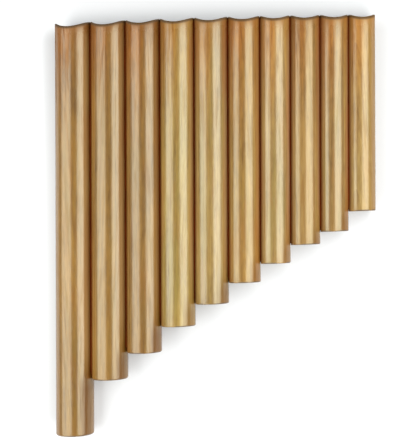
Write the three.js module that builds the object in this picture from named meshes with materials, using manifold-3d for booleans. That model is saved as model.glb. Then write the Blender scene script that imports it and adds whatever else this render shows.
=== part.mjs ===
// Pan flute: ten stopped wooden pipes glued side by side in a bowed row, tuned by cork and beeswax
// Units are millimetres. The flute lies on its back with the bowed front up
// +X runs from the longest pipe to the shortest, +Y towards the mouths and +Z up from the table
import * as THREE from "three";
import { mergeVertices } from "three/addons/utils/BufferGeometryUtils.js";
import Module from "manifold-3d";

// The row: diameters fall from the bass pipe to the treble pipe, and the axes lie on one arc
const BASS_DIAMETER = 22.7;
const DIAMETER_SHARES = [1, 0.954, 0.918, 0.9, 0.874, 0.823, 0.773, 0.757, 0.722, 0.691];
const ROW_RADIUS = 725;
const WALL = 3;
const FLAT_DEPTH = 0.2;
const GLUE_LINE = 0.3;

// Tuning: the notes of a major scale as shares of an octave, each octave halving the air column
const BASS_AIR_COLUMN = 214;
const OCTAVE_SHARES = [0, 2 / 12, 4 / 12, 5 / 12, 7 / 12, 9 / 12, 11 / 12, 1, 14 / 12, 16 / 12];

// Stoppers: a cork pushed up from the foot, sealed above by poured beeswax, over an open recess
const CORK_LENGTH = 12;
const CORK_CHAMFER = 0.8;
const WAX_DEPTH = 2.5;
const WAX_RISE = 0.8;
const BORE_CLEARANCE = 0.25;
const SEAT_CLEARANCE = 0.3;
const LONGEST_RECESS = 17.6;
const RECESS_SHARES = [1, 0.404, 0.668, 0.313, 0.555, 0.733, 0.891, 0.635, 0.871, 0.794];

// Mouth and foot: one scallop across each pipe, as deep as a share of its radius, and a sloping foot
const SCALLOP_SHARE = 0.335;
const FOOT_ROUND_SHARE = 0.4;
const FOOT_CHAMFER_SHARE = 0.17;
const FOOT_SLOPE = Math.tan(THREE.MathUtils.degToRad(2));
const CUT_OVERRUN = 2;

// Facets
const PIPE_SIDES = 40;
const STOPPER_SIDES = 24;
const ROUND_STEPS = 3;
const SCALLOP_STEPS = 16;
const MENISCUS_STEPS = 3;

const PIPE_COLORS = [
  0xb5854f, 0xb98a55, 0xb88d5c, 0xc4a262, 0xc39c66, 0xc09459, 0xc79e66, 0xc59a60, 0xc8a066, 0xcda66c,
];
const CORK_COLOR = 0xb98d5f;
const WAX_COLOR = 0xc9932f;

const wasm = await Module();
wasm.setup();

// Turns a closed three.js geometry into a solid that can be cut
function solidOf(geometry) {
  const bare = geometry.clone();
  bare.deleteAttribute("normal");
  bare.deleteAttribute("uv");
  const merged = mergeVertices(bare);
  const vertProperties = new Float32Array(merged.attributes.position.array);
  const triVerts = new Uint32Array(merged.index.array);
  return new wasm.Manifold(new wasm.Mesh({ numProp: 3, vertProperties, triVerts }));
}

// Turns a cut solid back into a three.js geometry
function geometryOf(solid) {
  const mesh = solid.getMesh();
  const geometry = new THREE.BufferGeometry();
  geometry.setAttribute("position", new THREE.BufferAttribute(new Float32Array(mesh.vertProperties), 3));
  geometry.setIndex(new THREE.BufferAttribute(new Uint32Array(mesh.triVerts), 1));
  geometry.computeVertexNormals();
  return geometry;
}

// Works out every pipe's radii, lengths and place on the arc, with both end pipes on the table
function planRow() {
  const pipes = DIAMETER_SHARES.map((share, i) => {
    const radius = BASS_DIAMETER * share / 2;
    const airColumn = BASS_AIR_COLUMN * 2 ** -OCTAVE_SHARES[i];
    const waxFloor = airColumn + WAX_DEPTH;
    const corkTop = waxFloor + SEAT_CLEARANCE;
    const corkFloor = corkTop + CORK_LENGTH;
    const length = corkFloor + LONGEST_RECESS * RECESS_SHARES[i];
    return { radius, bore: radius - WALL, waxFloor, corkFloor, length, bend: 0 };
  });
  for (let i = 1; i < pipes.length; i++) {
    const spacing = pipes[i - 1].radius + pipes[i].radius - 2 * FLAT_DEPTH + GLUE_LINE;
    pipes[i].bend = pipes[i - 1].bend + 2 * Math.asin(spacing / 2 / ROW_RADIUS);
  }
  const first = pipes[0];
  const last = pipes[pipes.length - 1];
  const halfSpread = last.bend / 2;
  const lean = Math.asin((first.radius - last.radius) / (2 * ROW_RADIUS * Math.sin(halfSpread)));
  for (const pipe of pipes) {
    pipe.angle = pipe.bend - halfSpread + lean;
    pipe.x = ROW_RADIUS * Math.sin(pipe.angle);
    pipe.z = ROW_RADIUS * (Math.cos(pipe.angle) - Math.cos(halfSpread - lean)) + first.radius;
  }
  return pipes;
}

// Revolved tube wall, mouth at y = 0 with overrun above it, and a rounded foot at y = -length
function tubeWall(pipe) {
  const { radius, bore, length } = pipe;
  const chamfer = WALL * FOOT_CHAMFER_SHARE;
  const footRadius = WALL * FOOT_ROUND_SHARE;
  const round = new THREE.Path();
  round.absarc(radius - footRadius, footRadius - length, footRadius, -Math.PI / 2, 0, false);
  const profile = [
    new THREE.Vector2(bore, CUT_OVERRUN),
    new THREE.Vector2(bore, chamfer - length),
    new THREE.Vector2(bore + chamfer, -length),
    ...round.getPoints(ROUND_STEPS),
    new THREE.Vector2(radius, CUT_OVERRUN),
    new THREE.Vector2(bore, CUT_OVERRUN),
  ];
  const geometry = new THREE.LatheGeometry(profile, PIPE_SIDES);
  const position = geometry.attributes.position;
  for (let i = 0; i < position.count; i++) {
    if (position.getY(i) < 0) {
      position.setY(i, position.getY(i) + FOOT_SLOPE * position.getX(i));
    }
  }
  return geometry;
}

// Bellied cutter: lowest at the pipe's axis, rising to a crest at each side
function scallopCutter(pipe) {
  const reach = pipe.radius + CUT_OVERRUN;
  const outline = new THREE.Shape();
  outline.moveTo(-reach, 2 * CUT_OVERRUN);
  outline.lineTo(-reach, 0);
  for (let i = 0; i <= SCALLOP_STEPS; i++) {
    const across = 2 * i / SCALLOP_STEPS - 1;
    const dip = SCALLOP_SHARE * (1 - across ** 2);
    outline.lineTo(pipe.radius * across, -pipe.radius * dip);
  }
  outline.lineTo(reach, 0);
  outline.lineTo(reach, 2 * CUT_OVERRUN);
  const geometry = new THREE.ExtrudeGeometry(outline, { depth: 2 * reach, bevelEnabled: false });
  geometry.translate(0, 0, -reach);
  return geometry.rotateY(pipe.angle);
}

// Block that planes the glued side flat, just past the sloping foot of the shorter of the two pipes
function flatCutter(pipe, neighbour) {
  const gluedLength = Math.min(pipe.length, neighbour.length) + FOOT_SLOPE * BASS_DIAMETER;
  const height = gluedLength + CUT_OVERRUN;
  const side = Math.sign(neighbour.angle - pipe.angle);
  const geometry = new THREE.BoxGeometry(CUT_OVERRUN, height, 2 * pipe.radius);
  geometry.translate(
    side * (pipe.radius - FLAT_DEPTH + CUT_OVERRUN / 2),
    CUT_OVERRUN - height / 2,
    0,
  );
  return geometry.rotateY((pipe.angle + neighbour.angle) / 2);
}

// One wooden pipe: wall, scalloped mouth, and a flat on each side that is glued to a neighbour
function pipeGeometry(pipe, neighbours) {
  let solid = solidOf(tubeWall(pipe)).subtract(solidOf(scallopCutter(pipe)));
  for (const neighbour of neighbours) {
    solid = solid.subtract(solidOf(flatCutter(pipe, neighbour)));
  }
  return geometryOf(solid);
}

// Cork stopper with chamfered ends, standing on y = 0
function corkGeometry(pipe) {
  const radius = pipe.bore - BORE_CLEARANCE;
  return new THREE.LatheGeometry([
    new THREE.Vector2(0, 0),
    new THREE.Vector2(radius - CORK_CHAMFER, 0),
    new THREE.Vector2(radius, CORK_CHAMFER),
    new THREE.Vector2(radius, CORK_LENGTH - CORK_CHAMFER),
    new THREE.Vector2(radius - CORK_CHAMFER, CORK_LENGTH),
    new THREE.Vector2(0, CORK_LENGTH),
  ], STOPPER_SIDES);
}

// Beeswax seal, flat below and dished above where it crept up the bore wall, standing on y = 0
function waxGeometry(pipe) {
  const radius = pipe.bore - BORE_CLEARANCE;
  const profile = [new THREE.Vector2(0, 0), new THREE.Vector2(radius, 0)];
  for (let i = 0; i <= MENISCUS_STEPS; i++) {
    const share = 1 - i / MENISCUS_STEPS;
    profile.push(new THREE.Vector2(radius * share, WAX_DEPTH + WAX_RISE * share ** 2));
  }
  return new THREE.LatheGeometry(profile, STOPPER_SIDES);
}

// Adds a named piece whose own y = 0 lies the given depth below the mouth crests
function addPiece(group, name, geometry, pipe, depth, material) {
  const mesh = new THREE.Mesh(geometry, new THREE.MeshStandardMaterial(material));
  mesh.name = name;
  mesh.position.set(pipe.x, -depth, pipe.z);
  group.add(mesh);
}

const flute = new THREE.Group();
const pipes = planRow();
pipes.forEach((pipe, i) => {
  const number = String(i + 1).padStart(2, "0");
  const neighbours = [pipes[i - 1], pipes[i + 1]].filter(Boolean);
  const wood = { color: PIPE_COLORS[i], roughness: 0.35, metalness: 0 };
  const cork = { color: CORK_COLOR, roughness: 0.9, metalness: 0 };
  const wax = { color: WAX_COLOR, roughness: 0.5, metalness: 0 };
  addPiece(flute, `pipe_${number}`, pipeGeometry(pipe, neighbours), pipe, 0, wood);
  addPiece(flute, `cork_${number}`, corkGeometry(pipe), pipe, pipe.corkFloor, cork);
  addPiece(flute, `wax_${number}`, waxGeometry(pipe), pipe, pipe.waxFloor, wax);
});

// The origin is the middle of the flute's outer box, on the table
const middle = new THREE.Box3().setFromObject(flute, true).getCenter(new THREE.Vector3());
flute.position.set(-middle.x, -middle.y, 0);
flute.updateMatrixWorld(true);

export default flute;
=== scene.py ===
import math

import bmesh
import bpy
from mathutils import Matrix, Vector, noise


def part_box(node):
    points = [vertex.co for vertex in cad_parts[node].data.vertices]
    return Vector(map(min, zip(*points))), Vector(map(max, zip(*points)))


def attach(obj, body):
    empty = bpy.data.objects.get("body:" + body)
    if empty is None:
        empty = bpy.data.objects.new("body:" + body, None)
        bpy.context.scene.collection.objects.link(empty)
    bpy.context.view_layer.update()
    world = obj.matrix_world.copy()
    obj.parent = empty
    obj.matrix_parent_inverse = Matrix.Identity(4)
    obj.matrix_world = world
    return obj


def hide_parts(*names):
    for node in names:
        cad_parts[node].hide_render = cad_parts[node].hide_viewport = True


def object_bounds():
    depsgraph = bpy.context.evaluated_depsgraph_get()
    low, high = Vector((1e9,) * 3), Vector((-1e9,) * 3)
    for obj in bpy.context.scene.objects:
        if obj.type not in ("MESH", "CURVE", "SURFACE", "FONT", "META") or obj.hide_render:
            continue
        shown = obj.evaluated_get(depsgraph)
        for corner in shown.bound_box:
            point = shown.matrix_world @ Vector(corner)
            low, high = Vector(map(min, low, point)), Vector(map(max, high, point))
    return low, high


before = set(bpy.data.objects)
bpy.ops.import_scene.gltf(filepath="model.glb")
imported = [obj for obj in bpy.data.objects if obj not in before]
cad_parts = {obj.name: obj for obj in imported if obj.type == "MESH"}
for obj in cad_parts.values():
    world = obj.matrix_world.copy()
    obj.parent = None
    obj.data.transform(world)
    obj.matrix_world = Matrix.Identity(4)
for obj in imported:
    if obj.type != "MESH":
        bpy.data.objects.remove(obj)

cad_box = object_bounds()


# The ten pipes
# Each is a turned tube of light hardwood, rounded at its foot and scalloped across its mouth. The sides
# are planed flat and glued from the mouths down to the shorter pipe's foot, on a bow that comes forward.
PIPE_NUMBERS = [f"{i:02d}" for i in range(1, 11)]
BORE_CLEARANCE = 0.00025
FOOT_CLEARANCE = 0.00003
SCALLOP_SHARE = 0.335
MOUTH_ROUND = 0.0009
FOOT_ROUNDS = (0.0012, 0.0011, 0.0009, 0.0006, 0.0007, 0.0006, 0.0007, 0.0006, 0.0006, 0.0006)
FOOT_CHAMFER = 0.0005
FOOT_SLOPE = math.tan(math.radians(2))
FLAT_DEPTH = 0.0002
END_BLEND = 0.012
FLAT_FADE = 0.004
FLAT_OVERRUN = 0.0045
PIPE_SIDES = 112
PIPE_RINGS = 34
END_RING = 0.0016
RING_CROWDING = 0.86
ROUND_STEPS = 4
CORNER_SHARE = 0.49999
WELD_DISTANCE = 0.000002


class Flow:
    """A value that runs through a node tree, usable in Python sums and products"""

    def __init__(self, tree, socket):
        self.tree = tree
        self.socket = socket

    def out(self, name):
        return Flow(self.tree, self.socket.node.outputs[name])

    def maths(self, operation, *terms):
        return add_node(self.tree, "ShaderNodeMath", {"operation": operation}, dict(enumerate(terms)))

    def __add__(self, other):
        return self.maths("ADD", self, other)

    def __radd__(self, other):
        return self.maths("ADD", other, self)

    def __sub__(self, other):
        return self.maths("SUBTRACT", self, other)

    def __rsub__(self, other):
        return self.maths("SUBTRACT", other, self)

    def __mul__(self, other):
        return self.maths("MULTIPLY", self, other)

    def __rmul__(self, other):
        return self.maths("MULTIPLY", other, self)

    def __truediv__(self, other):
        return self.maths("DIVIDE", self, other)

    def __rtruediv__(self, other):
        return self.maths("DIVIDE", other, self)

    def __pow__(self, other):
        return self.maths("POWER", self, other)

    def __neg__(self):
        return self.maths("MULTIPLY", self, -1.0)

    def __lt__(self, other):
        return self.maths("LESS_THAN", self, other)

    def __gt__(self, other):
        return self.maths("GREATER_THAN", self, other)

    def ramp(self, low, high):
        return add_node(self.tree, "ShaderNodeMapRange", {}, {0: self, 1: low, 2: high})

    def fade(self, low, high):
        return add_node(self.tree, "ShaderNodeMapRange", {"interpolation_type": "SMOOTHSTEP"},
                        {0: self, 1: low, 2: high})


def add_node(tree, kind, settings, sockets, output=0):
    """Adds a node, applies its settings, feeds its sockets and gives back one of its outputs"""
    made = tree.nodes.new(kind)
    for name, value in settings.items():
        setattr(made, name, value)
    for name, value in sockets.items():
        if isinstance(value, Flow):
            tree.links.new(value.socket, made.inputs[name])
        else:
            made.inputs[name].default_value = value
    return Flow(tree, made.outputs[output])


def plan_pipes():
    """Reads each pipe's radii, length, axis and heading from the frame"""
    plans = []
    for number, foot_round in zip(PIPE_NUMBERS, FOOT_ROUNDS):
        low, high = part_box(f"pipe_{number}")
        cork_low, cork_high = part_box(f"cork_{number}")
        radius = (high.z - low.z) / 2
        foot = low.y + FOOT_SLOPE * (radius - foot_round) + FOOT_CLEARANCE
        plans.append({
            "number": number,
            "radius": radius,
            "bore": (cork_high.z - cork_low.z) / 2 + BORE_CLEARANCE,
            "length": cad_box[1].y - foot,
            "foot round": foot_round,
            "axis": Vector(((cork_low.x + cork_high.x) / 2, cad_box[1].y, (low.z + high.z) / 2)),
        })
    for i, plan in enumerate(plans):
        before = plans[max(i - 1, 0)]["axis"]
        after = plans[min(i + 1, len(plans) - 1)]["axis"]
        plan["heading"] = math.atan2(before.z - after.z, after.x - before.x)
        plan["left flat"] = plan["length"] + FLAT_OVERRUN if i > 0 else 0.0
        plan["right flat"] = plans[i + 1]["length"] + FLAT_OVERRUN if i + 1 < len(plans) else 0.0
    return plans


def stopped_pipe_tree():
    """Node tree that revolves a tube's wall, scallops its mouth, slopes its foot and planes its sides"""
    tree = bpy.data.node_groups.new("stopped_pipe", "GeometryNodeTree")
    numbers = ("Outer radius", "Bore radius", "Length", "Scallop depth", "Mouth round", "Foot round",
               "Foot chamfer", "Flat depth", "Left flat length", "Right flat length", "Foot slope",
               "Heading")
    for name in numbers:
        tree.interface.new_socket(name=name, in_out="INPUT", socket_type="NodeSocketFloat")
    tree.interface.new_socket(name="Mouth place", in_out="INPUT", socket_type="NodeSocketVector")
    tree.interface.new_socket(name="Wood", in_out="INPUT", socket_type="NodeSocketMaterial")
    tree.interface.new_socket(name="Pipe", in_out="OUTPUT", socket_type="NodeSocketGeometry")
    given = Flow(tree, tree.nodes.new("NodeGroupInput").outputs[0])
    radius, bore, length = given.out("Outer radius"), given.out("Bore radius"), given.out("Length")
    wall = radius - bore

    # The wall's section: two long sides, with points that crowd towards the ends, and four rounded corners
    section = add_node(tree, "GeometryNodeCurvePrimitiveQuadrilateral", {"mode": "RECTANGLE"},
                       {"Width": wall, "Height": length})
    index = add_node(tree, "GeometryNodeInputIndex", {}, {})
    section = add_node(tree, "GeometryNodeSubdivideCurve", {},
                       {"Curve": section, "Cuts": index.maths("MODULO", index, 2.0) * PIPE_RINGS})
    place = add_node(tree, "GeometryNodeInputPosition", {}, {})
    split = add_node(tree, "ShaderNodeSeparateXYZ", {}, {0: place})
    share = (split.out("Y") / length + 0.5) * (PIPE_RINGS + 1) / (PIPE_RINGS - 1) - 1 / (PIPE_RINGS - 1)
    wave = share * (2.0 * math.pi)
    crowded = share - wave.maths("SINE", wave) * (RING_CROWDING / (2.0 * math.pi))
    level = (crowded - 0.5) * (length - 2.0 * END_RING)
    reach = split.maths("ABSOLUTE", split.out("Y")) / length
    crowded_place = add_node(tree, "ShaderNodeCombineXYZ", {}, {"X": split.out("X"), "Y": level})
    section = add_node(tree, "GeometryNodeSetPosition", {},
                       {"Geometry": section, "Selection": reach < CORNER_SHARE, "Position": crowded_place})
    outer, foot = split.out("X") > 0.0, split.out("Y") > 0.0
    foot_corner = outer * given.out("Foot round") + (1.0 - outer) * given.out("Foot chamfer")
    corner = foot * foot_corner + (1.0 - foot) * given.out("Mouth round")
    section = add_node(tree, "GeometryNodeFilletCurve", {"mode": "POLY"},
                       {"Curve": section, "Count": ROUND_STEPS, "Radius": corner * (reach > CORNER_SHARE)})
    ring = add_node(tree, "GeometryNodeCurvePrimitiveCircle", {"mode": "RADIUS"},
                    {"Resolution": PIPE_SIDES, "Radius": bore + wall / 2.0})
    ring = add_node(tree, "GeometryNodeSetCurveNormal", {"mode": "Z_UP"}, {"Curve": ring})
    tube = add_node(tree, "GeometryNodeCurveToMesh", {}, {"Curve": ring, "Profile Curve": section})
    tube = add_node(tree, "GeometryNodeMergeByDistance", {}, {"Geometry": tube, "Distance": WELD_DISTANCE})

    # How far each point lies from the nearer cut end, and whether it is in the bore, kept for the wood
    across, up = split.out("X"), split.out("Z") - length / 2.0
    from_end = up.maths("MINIMUM", -up, up + length)
    tube = add_node(tree, "GeometryNodeStoreNamedAttribute", {"data_type": "FLOAT", "domain": "POINT"},
                    {"Geometry": tube, "Name": "from_end", "Value": from_end})
    spread = (across * across + split.out("Y") * split.out("Y")) ** 0.5
    tube = add_node(tree, "GeometryNodeStoreNamedAttribute", {"data_type": "FLOAT", "domain": "POINT"},
                    {"Geometry": tube, "Name": "inside", "Value": spread < bore + wall / 2.0})

    # Scallop, foot slope and the two glued flats, with the nearness of a joint kept for the wood too
    side = across / radius
    joined = side * ((side > 0.0) * (-up < given.out("Right flat length"))
                     + (side < 0.0) * (-up < given.out("Left flat length")))
    tube = add_node(tree, "GeometryNodeStoreNamedAttribute", {"data_type": "FLOAT", "domain": "POINT"},
                    {"Geometry": tube, "Name": "joined", "Value": joined})
    dip = given.out("Scallop depth") * (1.0 - side * side)
    slope = given.out("Foot slope") * across
    along = up - dip * up.ramp(-END_BLEND, -given.out("Mouth round"))
    along = along + slope * up.ramp(END_BLEND - length, given.out("Foot round") - length)
    left = radius - given.out("Flat depth") * (-up).ramp(given.out("Left flat length"),
                                                        given.out("Left flat length") - FLAT_FADE)
    right = radius - given.out("Flat depth") * (-up).ramp(given.out("Right flat length"),
                                                         given.out("Right flat length") - FLAT_FADE)
    planed = across.maths("MAXIMUM", across.maths("MINIMUM", across, right), -left)
    shaped = add_node(tree, "ShaderNodeCombineXYZ", {}, {"X": planed, "Y": along, "Z": -split.out("Y")})
    tube = add_node(tree, "GeometryNodeSetPosition", {}, {"Geometry": tube, "Position": shaped})
    turn = add_node(tree, "ShaderNodeCombineXYZ", {}, {"Y": given.out("Heading")})
    turn = add_node(tree, "FunctionNodeEulerToRotation", {}, {0: turn})
    tube = add_node(tree, "GeometryNodeTransform", {},
                    {"Geometry": tube, "Translation": given.out("Mouth place"), "Rotation": turn})
    tube = add_node(tree, "GeometryNodeSetShadeSmooth", {}, {"Geometry": tube})
    tube = add_node(tree, "GeometryNodeRealizeInstances", {}, {"Geometry": tube})
    tube = add_node(tree, "GeometryNodeSetMaterial", {}, {"Geometry": tube, "Material": given.out("Wood")})
    tree.links.new(tube.socket, tree.nodes.new("NodeGroupOutput").inputs["Pipe"])
    return tree


# The pipes' wood is straight-grained and light brown, under a satin lacquer. Every pipe is turned from its
# own blank, so each has its own tone, its own tint under the lacquer and its own place in the log. On the
# longest pipes a painted highlight widens the gloss beside the treble joint.
PIPE_TONES = [
    (0.202, 0.102, 0.015), (0.206, 0.107, 0.018), (0.206, 0.106, 0.019), (0.289, 0.193, 0.047),
    (0.262, 0.168, 0.048), (0.285, 0.155, 0.034), (0.312, 0.199, 0.065), (0.258, 0.153, 0.046),
    (0.299, 0.179, 0.053), (0.352, 0.232, 0.077),
]
LACQUER_TINTS = [
    (1.00, 0.94, 0.69), (1.00, 0.95, 0.70), (1.00, 0.94, 0.71), (0.98, 0.97, 0.75), (1.00, 0.98, 0.76),
    (0.98, 0.97, 0.69), (1.00, 0.98, 0.74), (0.96, 0.89, 0.61), (1.00, 1.00, 0.74), (0.97, 0.88, 0.64),
]
PAINTED_HIGHLIGHT_SIDES = (0.9, 0.6, 0.1, 0.0, 0.0, 0.0, 0.0, 0.0, 0.0, 0.0)
RING_WIDTHS = (0.0023, 0.0017, 0.0026, 0.0020, 0.0015, 0.0024, 0.0018, 0.0022, 0.0016, 0.0020)
LOG_RADIUS = 0.07
LOG_TURN = 2.4
LOG_STEP = 0.41
BLANK_LEAN = (0.045, 0.035)
LEAN_STEPS = (1.7, 2.9)

# Shades of the wood, as shares of a pipe's own tone
EARLY_WOOD = (1.36, 1.32, 1.18)
DULL_EARLY_WOOD = (1.27, 1.27, 1.14)
LATE_WOOD = (0.56, 0.45, 0.30)
OLIVE_RUN = (0.92, 0.98, 0.66)
WARM_RUN = (1.02, 0.80, 0.52)
HANDLED_EARLY = (1.32, 1.08, 0.66)
HANDLED_LATE = (0.42, 0.26, 0.08)
GRIPPED_EARLY = (1.66, 1.06, 0.62)
GRIPPED_LATE = (0.56, 0.24, 0.08)
GRIPPED_JOINT_PAINTED_SHADE = (0.70, 0.40, 0.25)
TREBLE_JOINT_PAINTED_LIGHT = (1.30, 1.12, 1.70)
JOINT_PAINTED_HIGHLIGHT = (1.70, 1.85, 3.80)
BASS_JOINT_PAINTED_SHADE = (0.94, 0.76, 0.86)
ROW_END_PAINTED_SHADE = (0.82, 0.68, 0.60)
FREE_FLANK_PAINTED_SHADE = (0.60, 0.35, 0.14)
GLUE_STAIN = (1.10, 0.58, 0.62)
AMBER = (1.04, 0.70, 0.34)
BEHIND_MOUTH = (1.02, 0.68, 0.34)
OPEN_EARLY = (0.56, 0.42, 0.30)
OPEN_LATE = (0.22, 0.15, 0.10)
SOAKED_AND_PAINTED_SHADE = (0.074, 0.034, 0.010, 1.0)

# How fine each pattern of the wood is, in features to a metre across the grain
SWAY_FINENESS = 26.0
FIBRE_FINENESS = 2600.0
STREAK_FINENESS = 640.0
BAND_FINENESS = 170.0
PORE_FINENESS = 5200.0
DRIFT_FINENESS = 42.0
FLECK_FINENESS = 420.0
WARM_FINENESS = 330.0
OLIVE_FINENESS = 240.0
SCRAPER_FINENESS = 170.0
AMBER_FINENESS = 290.0
RIM_FINENESS = 190.0
STAIN_FINENESS = 90.0
DRILL_FINENESS = 2200.0
DULL_FINENESS = 1000.0

# How far these reach from a cut end or a joint's end, and where the mouths' half of a pipe begins
HANDLED_REACH = 0.030
AMBER_REACH = 0.013
BEHIND_REACH = 0.0034
MOUTH_SOAK_AND_SHADE_REACH = (0.0027, 0.0011)
FOOT_RIM = (0.0011, 0.0003)
CUT_FACE = (0.0007, 0.0004)
JOINT_START = (0.004, 0.030)
JOINT_FINISH = (0.012, -0.002)
MOUTH_HALF = (0.03, 0.09)


def blank_material(name):
    """A new material with an empty node tree"""
    material = bpy.data.materials.new(name)
    material.use_nodes = True
    material.node_tree.nodes.clear()
    return material, material.node_tree


def surface_of(tree, sockets):
    return add_node(tree, "ShaderNodeBsdfPrincipled", {}, sockets)


def bump_of(height, distance, strength):
    return add_node(height.tree, "ShaderNodeBump", {},
                    {"Height": height, "Distance": distance, "Strength": strength})


def show_surface(surface):
    """Ends a node tree in the given shader"""
    ending = surface.tree.nodes.new("ShaderNodeOutputMaterial")
    surface.tree.links.new(surface.socket, ending.inputs["Surface"])


def object_place(tree):
    return add_node(tree, "ShaderNodeTexCoord", {}, {}, "Object")


def scaled(source, scale):
    return add_node(source.tree, "ShaderNodeMapping", {}, {"Vector": source, "Scale": scale})


def stretch(source, along):
    """Scales a place along the pipes, so that a pattern runs with them"""
    return scaled(source, (1.0, along, 1.0))


def cloud(source, scale, detail, roughness=0.6):
    return add_node(source.tree, "ShaderNodeTexNoise", {}, {
        "Vector": source, "Scale": scale, "Detail": detail, "Roughness": roughness,
    })


def blend(share, first, second):
    return add_node(share.tree, "ShaderNodeMix", {"data_type": "RGBA"}, {0: share, 6: first, 7: second}, 2)


def attribute(tree, name):
    return add_node(tree, "ShaderNodeAttribute", {"attribute_name": name}, {}, "Fac")


def pipe_wood(plan, tone, lacquer_tint, painted_highlight_side, ring_width):
    """Lacquered wood for the outside of one pipe, and bare wood for its bore and its cut ends"""
    seed = int(plan["number"])
    axis = plan["axis"]
    material, tree = blank_material(f"wood_{plan['number']}")

    def tinted(shares):
        return (*(part * share for part, share in zip(tone, shares)), 1.0)

    # The blank's place in the log, a little askew to its heart
    turn = LOG_TURN * seed
    heart = (LOG_RADIUS * math.cos(turn) - axis.x, LOG_STEP * seed, LOG_RADIUS * math.sin(turn) - axis.z)
    lean = (BLANK_LEAN[0] * math.sin(LEAN_STEPS[0] * seed), 0.0,
            BLANK_LEAN[1] * math.cos(LEAN_STEPS[1] * seed))
    place = object_place(tree)
    blank = add_node(tree, "ShaderNodeMapping", {}, {"Vector": place, "Location": heart, "Rotation": lean})
    fibres = stretch(blank, 0.03)

    # Growth rings, each with its own dark late edge
    sway = cloud(stretch(blank, 0.15), SWAY_FINENESS, 2.0)
    split = add_node(tree, "ShaderNodeSeparateXYZ", {}, {0: blank})
    x, z = split.out("X"), split.out("Z")
    reach = (x * x + z * z) ** 0.5 / ring_width + sway * 3.0
    ring = reach.maths("FRACT", reach)
    year = add_node(tree, "ShaderNodeTexWhiteNoise", {"noise_dimensions": "1D"},
                    {"W": reach.maths("FLOOR", reach)}, "Value")
    late = ring ** 3.0 * (0.35 + 0.65 * year)

    # Fibres, streaks, bands and pores, and the warm and the olive runs of the wood
    fibre = cloud(fibres, FIBRE_FINENESS, 3.0, 0.7) - 0.5
    streak = cloud(fibres, STREAK_FINENESS, 2.0) - 0.5
    band = cloud(fibres, BAND_FINENESS, 1.0) - 0.5
    pore = cloud(stretch(blank, 0.05), PORE_FINENESS, 1.0).ramp(0.68, 0.76)
    drift = cloud(stretch(blank, 0.3), DRIFT_FINENESS, 1.0).fade(0.3, 0.7)
    fleck = cloud(stretch(blank, 0.25), FLECK_FINENESS, 2.0) - 0.5
    warm = cloud(stretch(blank, 0.07), WARM_FINENESS, 2.0).fade(0.50, 0.68)
    olive = cloud(stretch(blank, 0.05), OLIVE_FINENESS, 1.0).fade(0.50, 0.66)
    shade = 0.30 + late * 0.38 + fibre * 0.9 + streak * 1.1 + band * 0.8 + pore * 0.2
    shade = (shade + (drift - 0.5) * 0.35 + fleck * 0.9).ramp(0.0, 1.0)
    pale = blend(drift, tinted(EARLY_WOOD), tinted(DULL_EARLY_WOOD))
    color = blend(shade, pale, tinted(LATE_WOOD))
    color = blend(olive * 0.5, color, tinted(OLIVE_RUN))
    color = blend(warm * 0.55, color, tinted(WARM_RUN))

    # The scraper's waves, and where a point lies: how far from a cut end, whether in the bore, how near
    # to a joint, and whether in the mouths' half
    wave = cloud(stretch(blank, 0.14), SCRAPER_FINENESS, 1.0)
    from_end, inside, joined = (attribute(tree, name) for name in ("from_end", "inside", "joined"))
    spot = add_node(tree, "ShaderNodeSeparateXYZ", {}, {0: place})
    mouth = spot.out("Y").fade(*MOUTH_HALF)

    # Lacquer that gathered behind the mouth and in the cut edges, with painted shade darkening the rounded
    # mouth and foot edges, and wood warmed where it is handled
    depth = from_end * (1.0 + band * 2.0 + streak) / BEHIND_REACH
    behind = (0.15 + mouth * 0.85) / (1.0 + depth ** 2.0)
    handled = mouth / (1.0 + (from_end / HANDLED_REACH) ** 2.0)
    amber = cloud(stretch(blank, 0.25), AMBER_FINENESS, 1.0).fade(0.48, 0.60)
    amber = amber * mouth / (1.0 + (from_end / AMBER_REACH) ** 3.0)
    # Painted shade in patches along the foot's rounded edge
    rim = cloud(blank, RIM_FINENESS, 1.0).fade(0.38, 0.52) * (1.0 - mouth) * from_end.fade(*FOOT_RIM)
    soaked_and_shaded_edge = (from_end + fibre * 0.0004).fade(*MOUTH_SOAK_AND_SHADE_REACH) * mouth + rim

    # Glue stain beside the joints, the bass side where the hand grips, and painted shade on the row's two
    # outermost sides and on the treble flank, which is free below the shorter pipe's foot
    stained = cloud(stretch(blank, 0.16), STAIN_FINENESS, 1.0).fade(0.46, 0.60)
    stained = stained * (0.45 + handled * 0.55) * (joined * joined).fade(0.30, 0.82)
    side = (spot.out("X") - axis.x) / plan["radius"]
    grip = handled * side.fade(0.28, -0.10)
    row_end = float(plan["right flat"] == 0.0) - float(plan["left flat"] == 0.0)
    outer_side_shade = (side * row_end).fade(0.58, 0.86)
    above_joint = spot.out("Y") - (cad_box[1].y - plan["right flat"])
    glued = above_joint.fade(*JOINT_START)
    flank_shade = side.fade(0.35, 0.75) * above_joint.fade(*JOINT_FINISH) * (1.0 - side.fade(0.90, 1.0) * 0.5)
    flank_shade = flank_shade * (0.3 if row_end > 0.0 else 1.0)

    # The outside's colour, from the middle of the pipe to its joints and then to its ends
    handled_color = blend(shade, tinted(HANDLED_EARLY), tinted(HANDLED_LATE))
    color = blend(handled * 0.85, color, handled_color)
    gripped_color = blend(shade, tinted(GRIPPED_EARLY), tinted(GRIPPED_LATE))
    color = blend(grip * 0.85, color, gripped_color)
    # Painted shade beside the bass side of each joint near the mouths
    color = blend(grip * joined.fade(-0.45, -0.85) * 0.8, color, tinted(GRIPPED_JOINT_PAINTED_SHADE))
    # Painted light on the treble side of each glued joint, lighter and redder than the wood
    color = blend(joined.fade(0.66, 0.93) * glued * (0.8 - handled * 0.3), color, tinted(TREBLE_JOINT_PAINTED_LIGHT))
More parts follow.
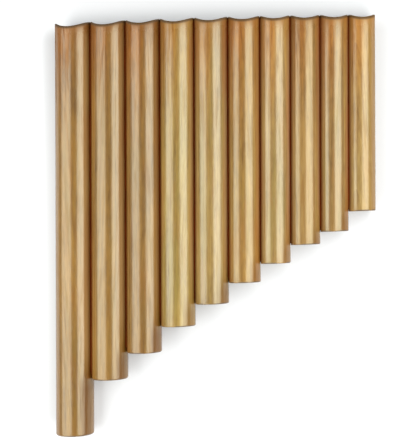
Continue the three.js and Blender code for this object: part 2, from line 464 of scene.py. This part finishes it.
    # Painted highlight beside the treble joint of the two longest pipes
    color = blend(joined.fade(0.60, 0.82) * glued * painted_highlight_side, color, tinted(JOINT_PAINTED_HIGHLIGHT))
    # Painted shade along the bass side of each glued joint
    color = blend(joined.fade(-0.72, -0.93) * 0.8, color, tinted(BASS_JOINT_PAINTED_SHADE))
    # Painted shade on the row's two outermost sides
    color = blend(outer_side_shade * 0.8, color, tinted(ROW_END_PAINTED_SHADE))
    # Painted shade on the free treble flank below the shorter pipe's foot
    color = blend(flank_shade * 0.7, color, tinted(FREE_FLANK_PAINTED_SHADE))
    color = blend(stained * 0.75, color, tinted(GLUE_STAIN))
    color = blend(amber * 0.6, color, tinted(AMBER))
    color = blend(behind * 0.85, color, tinted(BEHIND_MOUTH))
    # Soaked end grain, darkened further by painted shade on the rounded mouth and foot edges
    color = blend(soaked_and_shaded_edge * 0.85, color, SOAKED_AND_PAINTED_SHADE)

    # The lacquer, never quite true over the scraper's waves
    lacquered = surface_of(tree, {
        "Base Color": color, "Roughness": 0.22 + fibre * 0.10 + behind * 0.26 + soaked_and_shaded_edge * 0.2,
        "Normal": bump_of(wave - pore * 0.14 - fibre * 0.08 - late * 0.05, 0.00011, 1.0),
        "IOR": 1.7, "Specular IOR Level": 1.0, "Specular Tint": (*lacquer_tint, 1.0),
        "Coat Weight": 0.3 - behind * 0.25, "Coat Roughness": 0.16, "Coat IOR": 1.5,
    })

    # The bare wood of the bore, with the drill's rings, and of the two cut faces, with the grain end on
    drilled = cloud(scaled(place, (0.04, 1.0, 0.04)), DRILL_FINENESS, 2.0)
    open_grain = 0.32 + late * 0.5 + fibre * 1.5 + pore * 0.5 + (drilled - 0.5) * inside * 0.8
    open_grain = open_grain.ramp(0.0, 1.0)
    cut = (from_end + 0.00045 * (1.0 - mouth) + fibre * 0.0002).ramp(*CUT_FACE)
    cut = inside.maths("MAXIMUM", inside, cut)
    open_color = blend(open_grain, tinted(OPEN_EARLY), tinted(OPEN_LATE))
    bare = surface_of(tree, {
        "Base Color": blend(cut, color, open_color), "Roughness": 0.62 + fibre * 0.3,
        "Specular IOR Level": 0.25, "Specular Tint": (1.0, 0.80, 0.52, 1.0),
        "Normal": bump_of(drilled * inside - pore - fibre, 0.00012, 0.5),
    })

    # Bare wood shows through where the grain stands proud of the lacquer, and where hands dulled it. The
    # gloss is dulled too under the painted shade of the row's outermost sides and the free treble flanks
    dull = cloud(fibres, DULL_FINENESS, 2.0).fade(0.48, 0.64) * (0.29 + handled * 0.24)
    dull = dull + grip * 0.40 - handled * 0.07 + outer_side_shade * 0.3 + flank_shade * 0.45
    dull = cut.maths("MAXIMUM", cut.maths("MAXIMUM", cut, behind * 0.75), dull)
    show_surface(add_node(tree, "ShaderNodeMixShader", {}, {0: dull, 1: lacquered, 2: bare}))
    return material


pipe_plans = plan_pipes()
pipe_tree = stopped_pipe_tree()
pipe_sockets = pipe_tree.interface.items_tree
pipe_inputs = {item.name: item.identifier for item in pipe_sockets if item.in_out == "INPUT"}


def make_pipe(plan, wood):
    """Runs the node tree on one pipe's sizes and keeps the result as a plain mesh"""
    name = f"turned_pipe_{plan['number']}"
    piece = bpy.data.objects.new(name, bpy.data.meshes.new(name))
    bpy.context.scene.collection.objects.link(piece)
    shape = piece.modifiers.new("shape", "NODES")
    shape.node_group = pipe_tree
    sizes = {
        "Outer radius": plan["radius"], "Bore radius": plan["bore"], "Length": plan["length"],
        "Scallop depth": SCALLOP_SHARE * plan["radius"], "Mouth round": MOUTH_ROUND,
        "Foot round": plan["foot round"], "Foot chamfer": FOOT_CHAMFER, "Foot slope": FOOT_SLOPE,
        "Flat depth": FLAT_DEPTH, "Left flat length": plan["left flat"],
        "Right flat length": plan["right flat"], "Heading": plan["heading"],
        "Mouth place": plan["axis"], "Wood": wood,
    }
    for socket, value in sizes.items():
        shape[pipe_inputs[socket]] = value
    graph = bpy.context.evaluated_depsgraph_get()
    mesh = bpy.data.meshes.new_from_object(piece.evaluated_get(graph), depsgraph=graph)
    piece.modifiers.remove(shape)
    piece.data = mesh
    mesh.name = name
    return piece


pipe_blanks = zip(pipe_plans, PIPE_TONES, LACQUER_TINTS, PAINTED_HIGHLIGHT_SIDES, RING_WIDTHS)
for plan, tone, lacquer_tint, painted_highlight_side, ring_width in pipe_blanks:
    pipe = make_pipe(plan, pipe_wood(plan, tone, lacquer_tint, painted_highlight_side, ring_width))
    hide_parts(f"pipe_{plan['number']}")
    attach(pipe, "root")


# Glue between the pipes
# Hide glue, brushed on the flats before the row was clamped. It set as a dark film in each joint, with an
# uneven bead in the groove on the front and on the back, from under the mouths to the shorter foot.
GLUE_LINE = 0.0003
GLUE_CLEARANCE = 0.00004
GLUE_MOUTH_GAP = 0.0010
GLUE_FOOT_GAP = 0.0008
GLUE_END = 0.0014
BEAD_RISE_SHARE = 0.31
BEAD_START = 0.55
BEAD_SWELL = 0.45
BEAD_WAVER = 0.00035
WAVER_ACROSS = 900.0
WAVER_ALONG = 140.0
WAVER_SEEDS = (0.0, 7.0)
BEAD_HOLLOW = 0.00025
GLUE_ROWS = 56
WALL_STEPS = 12
BEAD_STEPS = 6
SHARP_EDGE = math.radians(50)
THIN_GLUE = (0.150, 0.022, 0.002, 1.0)
THICK_GLUE = (0.070, 0.008, 0.001, 1.0)


def closed_shell(name, rings, material):
    """Joins rings of points into one closed piece, with a point in the middle of each end"""
    shell = bmesh.new()
    rows = [[shell.verts.new(point) for point in ring] for ring in rings]
    for row, following in zip(rows, rows[1:]):
        for i in range(len(row)):
            j = (i + 1) % len(row)
            shell.faces.new((row[i], row[j], following[j], following[i]))
    for row in (rows[0][::-1], rows[-1]):
        middle = shell.verts.new(sum((vert.co for vert in row), Vector()) / len(row))
        for i in range(len(row)):
            shell.faces.new((row[i], row[(i + 1) % len(row)], middle))
    bmesh.ops.recalc_face_normals(shell, faces=shell.faces)
    mesh = bpy.data.meshes.new(name)
    shell.to_mesh(mesh)
    shell.free()
    mesh.shade_smooth()
    mesh.set_sharp_from_angle(angle=SHARP_EDGE)
    mesh.materials.append(material)
    piece = bpy.data.objects.new(name, mesh)
    bpy.context.scene.collection.objects.link(piece)
    return piece


def hide_glue():
    material, tree = blank_material("hide_glue")
    place = object_place(tree)
    run = cloud(stretch(place, 0.12), 700.0, 2.0)
    wet = cloud(stretch(place, 0.4), 120.0, 1.0).ramp(0.35, 0.65)
    color = blend((run - 0.5) * 1.6 + wet * 0.5, THIN_GLUE, THICK_GLUE)
    show_surface(surface_of(tree, {
        "Base Color": color, "Roughness": 0.5 + run * 0.2,
        "Specular IOR Level": 0.3, "Specular Tint": (1.0, 0.36, 0.10, 1.0),
        "Normal": bump_of(run, 0.0002, 0.4),
    }))
    return material


def groove_half(radius, rise):
    """Room for the glue beside one pipe's wall, at a height from the middle of its flat"""
    hollow = max(0.0, radius - FLAT_DEPTH - math.sqrt(radius ** 2 - rise ** 2))
    return GLUE_LINE / 2 + hollow - GLUE_CLEARANCE


def bead_face(left, right, height, sink):
    """Points across a bead's hollow face, from one pipe's wall to the other's"""
    low, high = -groove_half(left["radius"], height), groove_half(right["radius"], height)
    shares = [i / BEAD_STEPS for i in range(1, BEAD_STEPS)]
    return [(low + (high - low) * share, height + sink * 4 * share * (1 - share)) for share in shares]


def glue_section(left, right, front, back):
    """Outline of the film: up one pipe's wall, across the front bead, down the other wall and back"""
    heights = [back + (front - back) * i / WALL_STEPS for i in range(WALL_STEPS + 1)]
    up = [(-groove_half(left["radius"], height), height) for height in heights]
    down = [(groove_half(right["radius"], height), height) for height in reversed(heights)]
    front_face = bead_face(left, right, front, -BEAD_HOLLOW)
    back_face = bead_face(left, right, back, BEAD_HOLLOW)
    return up + front_face + down + back_face[::-1]


def glue_film(left, right, material):
    """Lays the glue of one joint, from under the mouths to just above the shorter pipe's foot"""
    start, finish = left["axis"], right["axis"]
    reach = Vector((finish.x - start.x, 0.0, finish.z - start.z)).normalized()
    rise = Vector((-reach.z, 0.0, reach.x))
    joint = start + reach * (left["radius"] - FLAT_DEPTH + GLUE_LINE / 2)
    top, bottom = cad_box[1].y - GLUE_MOUTH_GAP, cad_box[1].y - right["length"] + GLUE_FOOT_GAP
    rings = []
    for i in range(GLUE_ROWS + 1):
        level = top + (bottom - top) * i / GLUE_ROWS
        ease = min(1.0, BEAD_START + BEAD_SWELL * min(top - level, level - bottom) / GLUE_END)
        spots = [Vector((joint.x * WAVER_ACROSS, level * WAVER_ALONG, seed)) for seed in WAVER_SEEDS]
        wavers = [noise.noise(spot) for spot in spots]
        front = ease * BEAD_RISE_SHARE * left["radius"] + BEAD_WAVER * wavers[0]
        back = -ease * BEAD_RISE_SHARE * left["radius"] + BEAD_WAVER * wavers[1]
        rings.append([Vector((joint.x, level, joint.z)) + reach * across + rise * height
                      for across, height in glue_section(left, right, front, back)])
    film = closed_shell(f"glue_film_{left['number']}_{right['number']}", rings, material)
    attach(film, "root")


glue = hide_glue()
for left, right in zip(pipe_plans, pipe_plans[1:]):
    glue_film(left, right, glue)


# Corks
# One stopper of natural cork up each pipe, pushed in from the foot until the note was true. Its edges are
# eased so that it starts in the bore, and its ends are as the knife left them.
CORK_CLEARANCE = 0.00006
CORK_ROUND = 0.0008
CORK_UNEVEN = 0.00016
STOPPER_SIDES = 72
FACE_RINGS = 14
FIRST_RING = 0.3
EDGE_STEPS = 4
STOPPER_SEED = 3.7
DENTS_ACROSS = 420.0
DENTS_ALONG = 90.0
CORK_PALE = (0.600, 0.390, 0.200, 1.0)
CORK_TAN = (0.380, 0.215, 0.100, 1.0)
CORK_RING = (0.260, 0.130, 0.055, 1.0)
CORK_STREAK = (0.190, 0.085, 0.034, 1.0)
CORK_PIT = (0.060, 0.026, 0.011, 1.0)


def turned_shell(name, plan, profile, material):
    """Revolves a profile of (radius, level, unevenness) about a pipe's axis into one closed piece"""
    seed = STOPPER_SEED * int(plan["number"])
    rings = []
    for radius, level, uneven in profile:
        ring = []
        for i in range(STOPPER_SIDES):
            turn = 2 * math.pi * i / STOPPER_SIDES
            x, z = radius * math.cos(turn), radius * math.sin(turn)
            spot = Vector((x * DENTS_ACROSS, seed + level * DENTS_ALONG, z * DENTS_ACROSS))
            dent = uneven * noise.fractal(spot, 1.0, 2.0, 3)
            ring.append((plan["axis"].x + x, level + dent, plan["axis"].z + z))
        rings.append(ring)
    return closed_shell(name, rings, material)


def cork_profile(radius, low, high):
    """Foot face, eased edge, side, eased edge and upper face, from the axis out and back to it"""
    flat = radius - CORK_ROUND
    half = []
    for i in range(FACE_RINGS):
        half.append((flat * (i + FIRST_RING) / FACE_RINGS, low + CORK_UNEVEN, CORK_UNEVEN))
    for i in range(EDGE_STEPS + 1):
        angle = math.pi / 2 * i / EDGE_STEPS
        across = flat + CORK_ROUND * math.sin(angle)
        level = low + CORK_UNEVEN + CORK_ROUND * (1 - math.cos(angle))
        half.append((across, level, CORK_UNEVEN * (1 - i / EDGE_STEPS)))
    mirrored = [(across, low + high - level, uneven) for across, level, uneven in reversed(half)]
    return half + mirrored


def natural_cork():
    material, tree = blank_material("natural_cork")
    place = object_place(tree)
    grain = cloud(place, 1500.0, 4.0, 0.7)
    year = cloud(scaled(place, (1.0, 1.0, 0.22)), 700.0, 2.0)
    cells = add_node(tree, "ShaderNodeTexVoronoi", {"feature": "F1"}, {"Vector": place, "Scale": 620.0})
    pit = cells.ramp(0.30, 0.12) * cloud(place, 260.0, 1.0).ramp(0.52, 0.60)
    streak = cloud(stretch(place, 0.25), 480.0, 2.0).ramp(0.60, 0.70)
    color = blend((grain - 0.5) * 2.2 + 0.4, CORK_PALE, CORK_TAN)
    color = blend(year.ramp(0.55, 0.72) * 0.5, color, CORK_RING)
    color = blend(streak * 0.6, color, CORK_STREAK)
    color = blend(pit, color, CORK_PIT)
    show_surface(surface_of(tree, {
        "Base Color": color, "Roughness": 0.78 + grain * 0.2, "Specular IOR Level": 0.35,
        "Normal": bump_of(grain * 0.4 - pit, 0.0004, 0.8),
    }))
    return material


cork = natural_cork()
for plan in pipe_plans:
    low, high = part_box(f"cork_{plan['number']}")
    profile = cork_profile(plan["bore"] - CORK_CLEARANCE, low.y, high.y)
    stopper = turned_shell(f"cut_cork_{plan['number']}", plan, profile, cork)
    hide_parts(f"cork_{plan['number']}")
    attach(stopper, "root")


# Beeswax
# A little molten beeswax, poured down each pipe on to its cork to seal it and to true the note. It crept
# up the bore wall as it set, so its top is dished and faintly rippled.
WAX_CLEARANCE = 0.00006
WAX_RIPPLE = 0.00007
WAX_RISE_SHARE = 0.24
WAX_EDGE = 0.00025
WAX_UNDERSIDE = (0.05, 0.5, 0.97)
WAX_HOLLOW = 0.3
WAX_CREEP = 0.7
WAX_PALE = (0.640, 0.330, 0.055, 1.0)
WAX_DEEP = (0.520, 0.215, 0.022, 1.0)
WAX_SPECK = (0.240, 0.090, 0.018, 1.0)


def wax_profile(radius, low, high):
    """Flat underside, side up the bore wall, and the dished top back to the axis"""
    rise = (high - low) * WAX_RISE_SHARE
    under = [(radius * share, low, 0.0) for share in WAX_UNDERSIDE]
    side = [(radius, low + WAX_EDGE, 0.0), (radius, high - WAX_EDGE, 0.0)]
    lip = [(radius - WAX_EDGE / 2, high, 0.0)]
    dish = []
    for i in range(FACE_RINGS):
        share = 1.0 - (i + 0.9) / (FACE_RINGS + 0.4)
        creep = WAX_HOLLOW * share ** 2 + WAX_CREEP * share ** 9
        dish.append((radius * share, high - rise * (1.0 - creep) - WAX_RIPPLE, WAX_RIPPLE))
    return under + side + lip + dish


def beeswax():
    material, tree = blank_material("beeswax")
    place = object_place(tree)
    bloom = cloud(place, 240.0, 3.0)
    speck = cloud(place, 2100.0, 1.0).ramp(0.70, 0.76)
    color = blend((bloom - 0.5) * 2.0 + 0.5, WAX_PALE, WAX_DEEP)
    color = blend(speck * 0.5, color, WAX_SPECK)
    show_surface(surface_of(tree, {
        "Base Color": color, "Roughness": 0.34 + bloom * 0.22, "IOR": 1.44,
        "Subsurface Weight": 0.3, "Subsurface Radius": (1.0, 0.45, 0.12), "Subsurface Scale": 0.0016,
        "Normal": bump_of(bloom, 0.0003, 0.3),
    }))
    return material


wax = beeswax()
for plan in pipe_plans:
    low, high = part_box(f"wax_{plan['number']}")
    profile = wax_profile(plan["bore"] - WAX_CLEARANCE, low.y, high.y)
    seal = turned_shell(f"poured_wax_{plan['number']}", plan, profile, wax)
    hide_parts(f"wax_{plan['number']}")
    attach(seal, "root")


# The table
# A plain white sheet under the flute. It takes the flute's soft shadow, with painted shadow added along
# its sides and painted light lifting it past the feet and the mouths, and is plain white to the eye
# farther out.
TABLE_SIZE = 6.0
FEET_SLANT = 0.7
TREBLE_SHADE = 0.62
BASS_SHADE = 0.38
UNDER_EDGE = (-0.003, 0.0)
SHADOW_WIDTH = (0.014, 0.001)
SHADOW_ENDS = (0.004, -0.010)
SHADOW_FEET = (0.070, 0.045)
WHITE_AROUND = (0.035, 0.13)
SHADOW_LIFT_PAST_FEET = (0.025, 0.052)
SHADOW_LIFT_PAST_MOUTHS = (0.002, 0.015)
SHEET_NEAR = (0.925, 0.950, 0.962, 1.0)
SHEET_PAINTED_SHADOW = (0.700, 0.716, 0.725, 1.0)
SHEET_UNSEEN = (0.62, 0.62, 0.61, 1.0)
PLAIN_WHITE = (1.0, 1.0, 1.0, 1.0)


def table_white():
    """White sheet, lit near the flute with painted shadow and light, plain white to the eye farther out"""
    material, tree = blank_material("table_white")
    path = add_node(tree, "ShaderNodeLightPath", {}, {}, "Is Camera Ray")
    seen = path.maths("MAXIMUM", path, path.out("Is Glossy Ray"))
    split = add_node(tree, "ShaderNodeSeparateXYZ", {}, {0: object_place(tree)})
    beside = split.maths("ABSOLUTE", split.out("X")) - cad_box[1].x
    beyond = split.maths("ABSOLUTE", split.out("Y")) - cad_box[1].y
    past_feet = split.out("X") * FEET_SLANT - split.out("Y")
    # Painted shadow on the sheet along the flute's sides, stronger on the bass side
    painted_shadow = beside.fade(*UNDER_EDGE) * beside.fade(*SHADOW_WIDTH) * beyond.fade(*SHADOW_ENDS)
    painted_shadow = painted_shadow * past_feet.fade(*SHADOW_FEET)
    painted_shadow = painted_shadow * (TREBLE_SHADE + (split.out("X") < 0.0) * BASS_SHADE)
    color = blend(painted_shadow, SHEET_NEAR, SHEET_PAINTED_SHADOW)
    color = blend(seen, SHEET_UNSEEN, color)
    lit = add_node(tree, "ShaderNodeBsdfDiffuse", {}, {"Color": color})
    white = add_node(tree, "ShaderNodeEmission", {}, {"Color": PLAIN_WHITE, "Strength": 1.0})
    white_and_shadow_lift = beside.maths("MAXIMUM", beside, beyond).fade(*WHITE_AROUND)
    # Painted light, a white glow that lifts the flute's shadow past its feet and past its mouths
    white_and_shadow_lift = white_and_shadow_lift.maths("MAXIMUM", white_and_shadow_lift, past_feet.fade(*SHADOW_LIFT_PAST_FEET) * 0.24)
    past_mouths = split.out("Y") - cad_box[1].y
    white_and_shadow_lift = white_and_shadow_lift.maths("MAXIMUM", white_and_shadow_lift, past_mouths.fade(*SHADOW_LIFT_PAST_MOUTHS) * 0.7)
    show_surface(add_node(tree, "ShaderNodeMixShader", {}, {0: seen * white_and_shadow_lift, 1: lit, 2: white}))
    return material


bpy.ops.mesh.primitive_plane_add(size=TABLE_SIZE)
table = bpy.context.object
table.name = "table"
table.data.materials.append(table_white())


# Studio light
# Two long soft boxes, one standing over each side of the flute, and a dim room above. The one on the
# bass side stands a little more towards the feet.
ROOM_LIGHT = 0.26
ROOM_COLOR = (0.945, 0.975, 1.0, 1.0)
LAMP_COLOR = (1.0, 0.99, 0.975)


def soft_box(name, top, bottom, ends, brightness):
    """Lamp panel between an upper and a lower edge, given as places across and above the table"""
    across, rise, length = bottom[0] - top[0], bottom[1] - top[1], ends[1] - ends[0]
    width = math.hypot(across, rise)
    lamp = bpy.data.lights.new(name, "AREA")
    lamp.shape = "RECTANGLE"
    lamp.size = width
    lamp.size_y = length
    lamp.energy = brightness * math.pi * width * length
    lamp.color = LAMP_COLOR
    stand = bpy.data.objects.new(name, lamp)
    bpy.context.scene.collection.objects.link(stand)
    stand.location = ((top[0] + bottom[0]) / 2, (ends[0] + ends[1]) / 2, (top[1] + bottom[1]) / 2)
    side = 1.0 if across > 0.0 else -1.0
    stand.rotation_euler = (0.0, math.atan2(-rise, side * across) * side, 0.0)


soft_box("treble_box", top=(0.120, 0.350), bottom=(0.232, 0.100), ends=(-0.40, 0.30), brightness=2.85)
soft_box("bass_box", top=(-0.105, 0.215), bottom=(-0.290, 0.100), ends=(-0.42, 0.20), brightness=2.30)

room = bpy.data.worlds.new("room")
room.use_nodes = True
room_tree = room.node_tree
room_tree.nodes.clear()
room_path = add_node(room_tree, "ShaderNodeLightPath", {}, {}, "Is Camera Ray")
room_seen = room_path.maths("MAXIMUM", room_path, room_path.out("Is Transmission Ray"))
room_light = add_node(room_tree, "ShaderNodeBackground", {}, {
    "Color": blend(room_seen, ROOM_COLOR, PLAIN_WHITE),
    "Strength": room_seen * (1.0 - ROOM_LIGHT) + ROOM_LIGHT,
})
room_ending = room_tree.nodes.new("ShaderNodeOutputWorld")
room_tree.links.new(room_light.socket, room_ending.inputs["Surface"])
bpy.context.scene.world = room
bpy.context.scene.view_settings.view_transform = "Standard"


# Camera
# It looks down on the lying flute from a little to its treble side, as the photograph was taken
CAMERA_PLACE = (0.10085, 0.00338, 0.66628)
CAMERA_TURN = math.radians(9.251)
CAMERA_ROLL = math.radians(0.195)
FOCUS_PIXELS = 1128.55
PICTURE_HEIGHT = 445
SENSOR_WIDTH = 36.0

camera = bpy.data.cameras.new("camera")
camera.sensor_width = SENSOR_WIDTH
camera.lens = SENSOR_WIDTH * FOCUS_PIXELS / PICTURE_HEIGHT
camera_stand = bpy.data.objects.new("camera", camera)
bpy.context.scene.collection.objects.link(camera_stand)
camera_stand.location = CAMERA_PLACE
camera_stand.rotation_euler = (0.0, CAMERA_TURN, 0.0)
camera_stand.rotation_euler.rotate_axis("Z", -CAMERA_ROLL)
bpy.context.scene.camera = camera_stand
